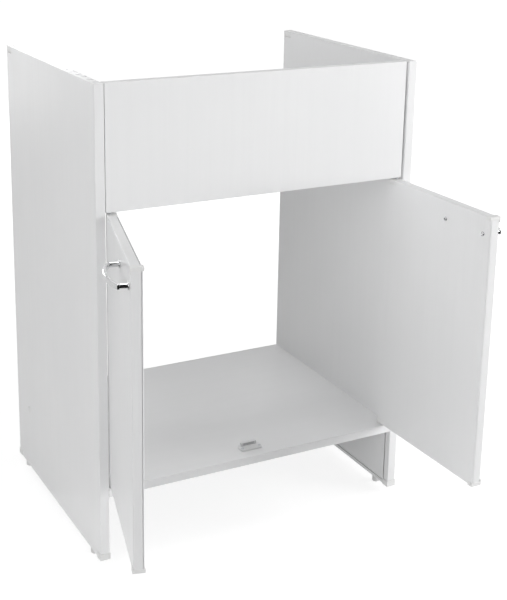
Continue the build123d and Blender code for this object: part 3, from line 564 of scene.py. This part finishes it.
def make_feet():
    """Turned glides with a rounded sole, a groove, a collar and a stem up into the side."""
    foot = loose_object("foot_blank", turned(FOOT_OUTLINE))
    places = [facing((0, 0, 1), (x, y, 0.0)) for x in (-FOOT_X, FOOT_X) for y in (-FOOT_Y, FOOT_Y)]
    build = gathered(foot.data, places)
    bpy.data.objects.remove(foot)
    as_piece("turned_glide_feet", build, "foot_plastic", "carcass", "glide_feet")


make_screws()
make_cover_caps()
make_feet()


# ---- stage ----
def stage_white(tree, shaded):
    """The second shader for camera, glossy and transmission rays, and the first for all others."""
    path = put(tree, "ShaderNodeLightPath")
    seen = put(tree, "ShaderNodeMath", {"operation": "MAXIMUM"})
    tree.links.new(path.outputs["Is Camera Ray"], seen.inputs[0])
    tree.links.new(path.outputs["Is Glossy Ray"], seen.inputs[1])
    clear = put(tree, "ShaderNodeMath", {"operation": "MAXIMUM"})
    tree.links.new(seen.outputs[0], clear.inputs[0])
    tree.links.new(path.outputs["Is Transmission Ray"], clear.inputs[1])
    mix = put(tree, "ShaderNodeMixShader", Fac=clear.outputs[0])
    plain, white = shaded
    tree.links.new(plain, mix.inputs[1])
    tree.links.new(white, mix.inputs[2])
    return mix.outputs[0]


def make_world():
    """Even soft light all round, seen as white."""
    world = bpy.data.worlds.new("studio")
    world.use_nodes = True
    tree = world.node_tree
    tree.nodes.clear()
    light = put(tree, "ShaderNodeBackground", Color=(1.0, 1.0, 1.0, 1.0), Strength=AMBIENT)
    white = put(tree, "ShaderNodeBackground", Color=(1.0, 1.0, 1.0, 1.0), Strength=1.0)
    out = put(tree, "ShaderNodeOutputWorld")
    tree.links.new(stage_white(tree, (light.outputs[0], white.outputs[0])), out.inputs["Surface"])
    bpy.context.scene.world = world


def make_floor():
    """Pale floor that shows as white and keeps the cabinet's shadow."""
    mesh = bpy.data.meshes.new("studio_floor")
    half = FLOOR_SIZE / 2
    corners = [(-half, -half, 0), (half, -half, 0), (half, half, 0), (-half, half, 0)]
    mesh.from_pydata(corners, [], [(0, 1, 2, 3)])
    floor = bpy.data.objects.new("studio_floor", mesh)
    bpy.context.scene.collection.objects.link(floor)
    material = bpy.data.materials.new("studio_floor")
    material.use_nodes = True
    tree = material.node_tree
    tree.nodes.clear()
    grey = (FLOOR_COLOUR, FLOOR_COLOUR, FLOOR_COLOUR, 1.0)
    shade = (FLOOR_SHADE, FLOOR_SHADE, FLOOR_SHADE, 1.0)
    plain = put(tree, "ShaderNodeBsdfDiffuse", Color=grey)
    shadow = put(tree, "ShaderNodeBsdfDiffuse", Color=shade)
    place = put(tree, "ShaderNodeTexCoord").outputs["Object"]
    away = put(tree, "ShaderNodeVectorMath", {"operation": "LENGTH"})
    tree.links.new(place, away.inputs[0])
    far = between(tree, away.outputs["Value"], FLOOR_GLOW_START, FLOOR_GLOW_END, 0.0, 1.0)
    strength = between(tree, far, 0.0, 1.0, FLOOR_GLOW_NEAR, FLOOR_GLOW_FAR)
    glow = put(tree, "ShaderNodeEmission", Color=(1.0, 1.0, 1.0, 1.0), Strength=strength)
    white = put(tree, "ShaderNodeAddShader")
    tree.links.new(shadow.outputs[0], white.inputs[0])
    tree.links.new(glow.outputs[0], white.inputs[1])
    out = put(tree, "ShaderNodeOutputMaterial")
    tree.links.new(stage_white(tree, (plain.outputs[0], white.outputs[0])), out.inputs["Surface"])
    mesh.materials.append(material)


def make_lamps():
    """Large soft lamps round the cabinet."""
    for name, (azimuth, elevation, distance, size, power) in LAMPS.items():
        turn, lift = math.radians(azimuth), math.radians(elevation)
        away = Vector((math.sin(turn) * math.cos(lift), -math.cos(turn) * math.cos(lift), math.sin(lift)))
        data = bpy.data.lights.new(name, "AREA")
        data.shape = "SQUARE"
        data.size = size
        data.energy = power
        lamp = bpy.data.objects.new(name, data)
        bpy.context.scene.collection.objects.link(lamp)
        lamp.location = LAMP_TARGET + away * distance
        lamp.rotation_mode = "QUATERNION"
        lamp.rotation_quaternion = (-away).to_track_quat("-Z", "Y")


def gloss_card(name, corners, faces, strength):
    """A studio card of one brightness that only glossy rays see."""
    mesh = bpy.data.meshes.new(name)
    mesh.from_pydata(corners, [], faces)
    card = bpy.data.objects.new(name, mesh)
    bpy.context.scene.collection.objects.link(card)
    material = bpy.data.materials.new(name)
    material.use_nodes = True
    tree = material.node_tree
    tree.nodes.clear()
    path = put(tree, "ShaderNodeLightPath")
    clear = put(tree, "ShaderNodeBsdfTransparent")
    plain = put(tree, "ShaderNodeEmission", Color=(1.0, 1.0, 1.0, 1.0), Strength=strength)
    mix = put(tree, "ShaderNodeMixShader", Fac=path.outputs["Is Glossy Ray"])
    tree.links.new(clear.outputs[0], mix.inputs[1])
    tree.links.new(plain.outputs[0], mix.inputs[2])
    out = put(tree, "ShaderNodeOutputMaterial")
    tree.links.new(mix.outputs[0], out.inputs["Surface"])
    mesh.materials.append(material)


def dome_part(first_turn, last_turn, rings, forward):
    """Corners and faces of part of a dome, from (radius, height) rings, with 0 degrees in front."""
    corners, faces = [], []
    for row, (radius, height) in enumerate(rings):
        for i in range(ROOM_STEPS + 1):
            turn = math.radians(first_turn + (last_turn - first_turn) * i / ROOM_STEPS)
            corners.append((radius * math.sin(turn), -radius * math.cos(turn) - forward, height))
            if row and i:
                here = row * (ROOM_STEPS + 1) + i
                faces.append((here - 1, here, here - ROOM_STEPS - 1, here - ROOM_STEPS - 2))
    return corners, faces


def make_room():
    """Dark floor and dome on the camera's side, and a paler band and floor behind."""
    lifts = [math.radians(ROOM_LIFT_STEP * row) for row in range(ROOM_LIFT_COUNT)]
    near_floor = (ROOM_FLOOR_START, ROOM_FLOOR_HEIGHT)
    far_floor = (ROOM_RADIUS, ROOM_FLOOR_HEIGHT)
    rings = [near_floor] + [
        (ROOM_RADIUS * math.cos(lift), max(ROOM_FLOOR_HEIGHT, ROOM_RADIUS * math.sin(lift)))
        for lift in lifts
    ]
    gloss_card("studio_front", *dome_part(*ROOM_FRONT, rings, ROOM_FORWARD), ROOM_DARK)
    top = math.radians(ROOM_BACK_LIFT)
    rings = [far_floor, (ROOM_RADIUS * math.cos(top), ROOM_RADIUS * math.sin(top))]
    gloss_card("studio_back", *dome_part(*ROOM_BEHIND, rings, ROOM_FORWARD), ROOM_BACK)
    rings = [near_floor, far_floor]
    gloss_card("studio_back_floor", *dome_part(*ROOM_BEHIND, rings, ROOM_FORWARD), ROOM_BACK_FLOOR)


def make_camera():
    """The photograph's viewpoint, with a smaller lens shift than its own."""
    data = bpy.data.cameras.new("camera")
    data.sensor_fit = "AUTO"
    data.sensor_width = SENSOR_MM
    data.lens = FOCAL_PX / IMAGE_HEIGHT_PX * SENSOR_MM
    data.shift_x = CAMERA_SHIFT_X
    data.shift_y = CAMERA_SHIFT_Y
    forward = Vector((
        math.sin(CAMERA_YAW) * math.cos(CAMERA_DOWN),
        math.cos(CAMERA_YAW) * math.cos(CAMERA_DOWN),
        -math.sin(CAMERA_DOWN),
    ))
    level = Vector((math.cos(CAMERA_YAW), -math.sin(CAMERA_YAW), 0.0))
    upright = level.cross(forward)
    right = level * math.cos(CAMERA_ROLL) + upright * math.sin(CAMERA_ROLL)
    up = upright * math.cos(CAMERA_ROLL) - level * math.sin(CAMERA_ROLL)
    turn = Matrix((right, up, -forward)).transposed()
    camera = bpy.data.objects.new("camera", data)
    bpy.context.scene.collection.objects.link(camera)
    camera.matrix_world = Matrix.Translation(CAMERA_PLACE) @ turn.to_4x4()
    bpy.context.scene.camera = camera


make_world()
make_floor()
make_lamps()
make_room()
make_camera()
bpy.context.scene.view_settings.view_transform = "Standard"
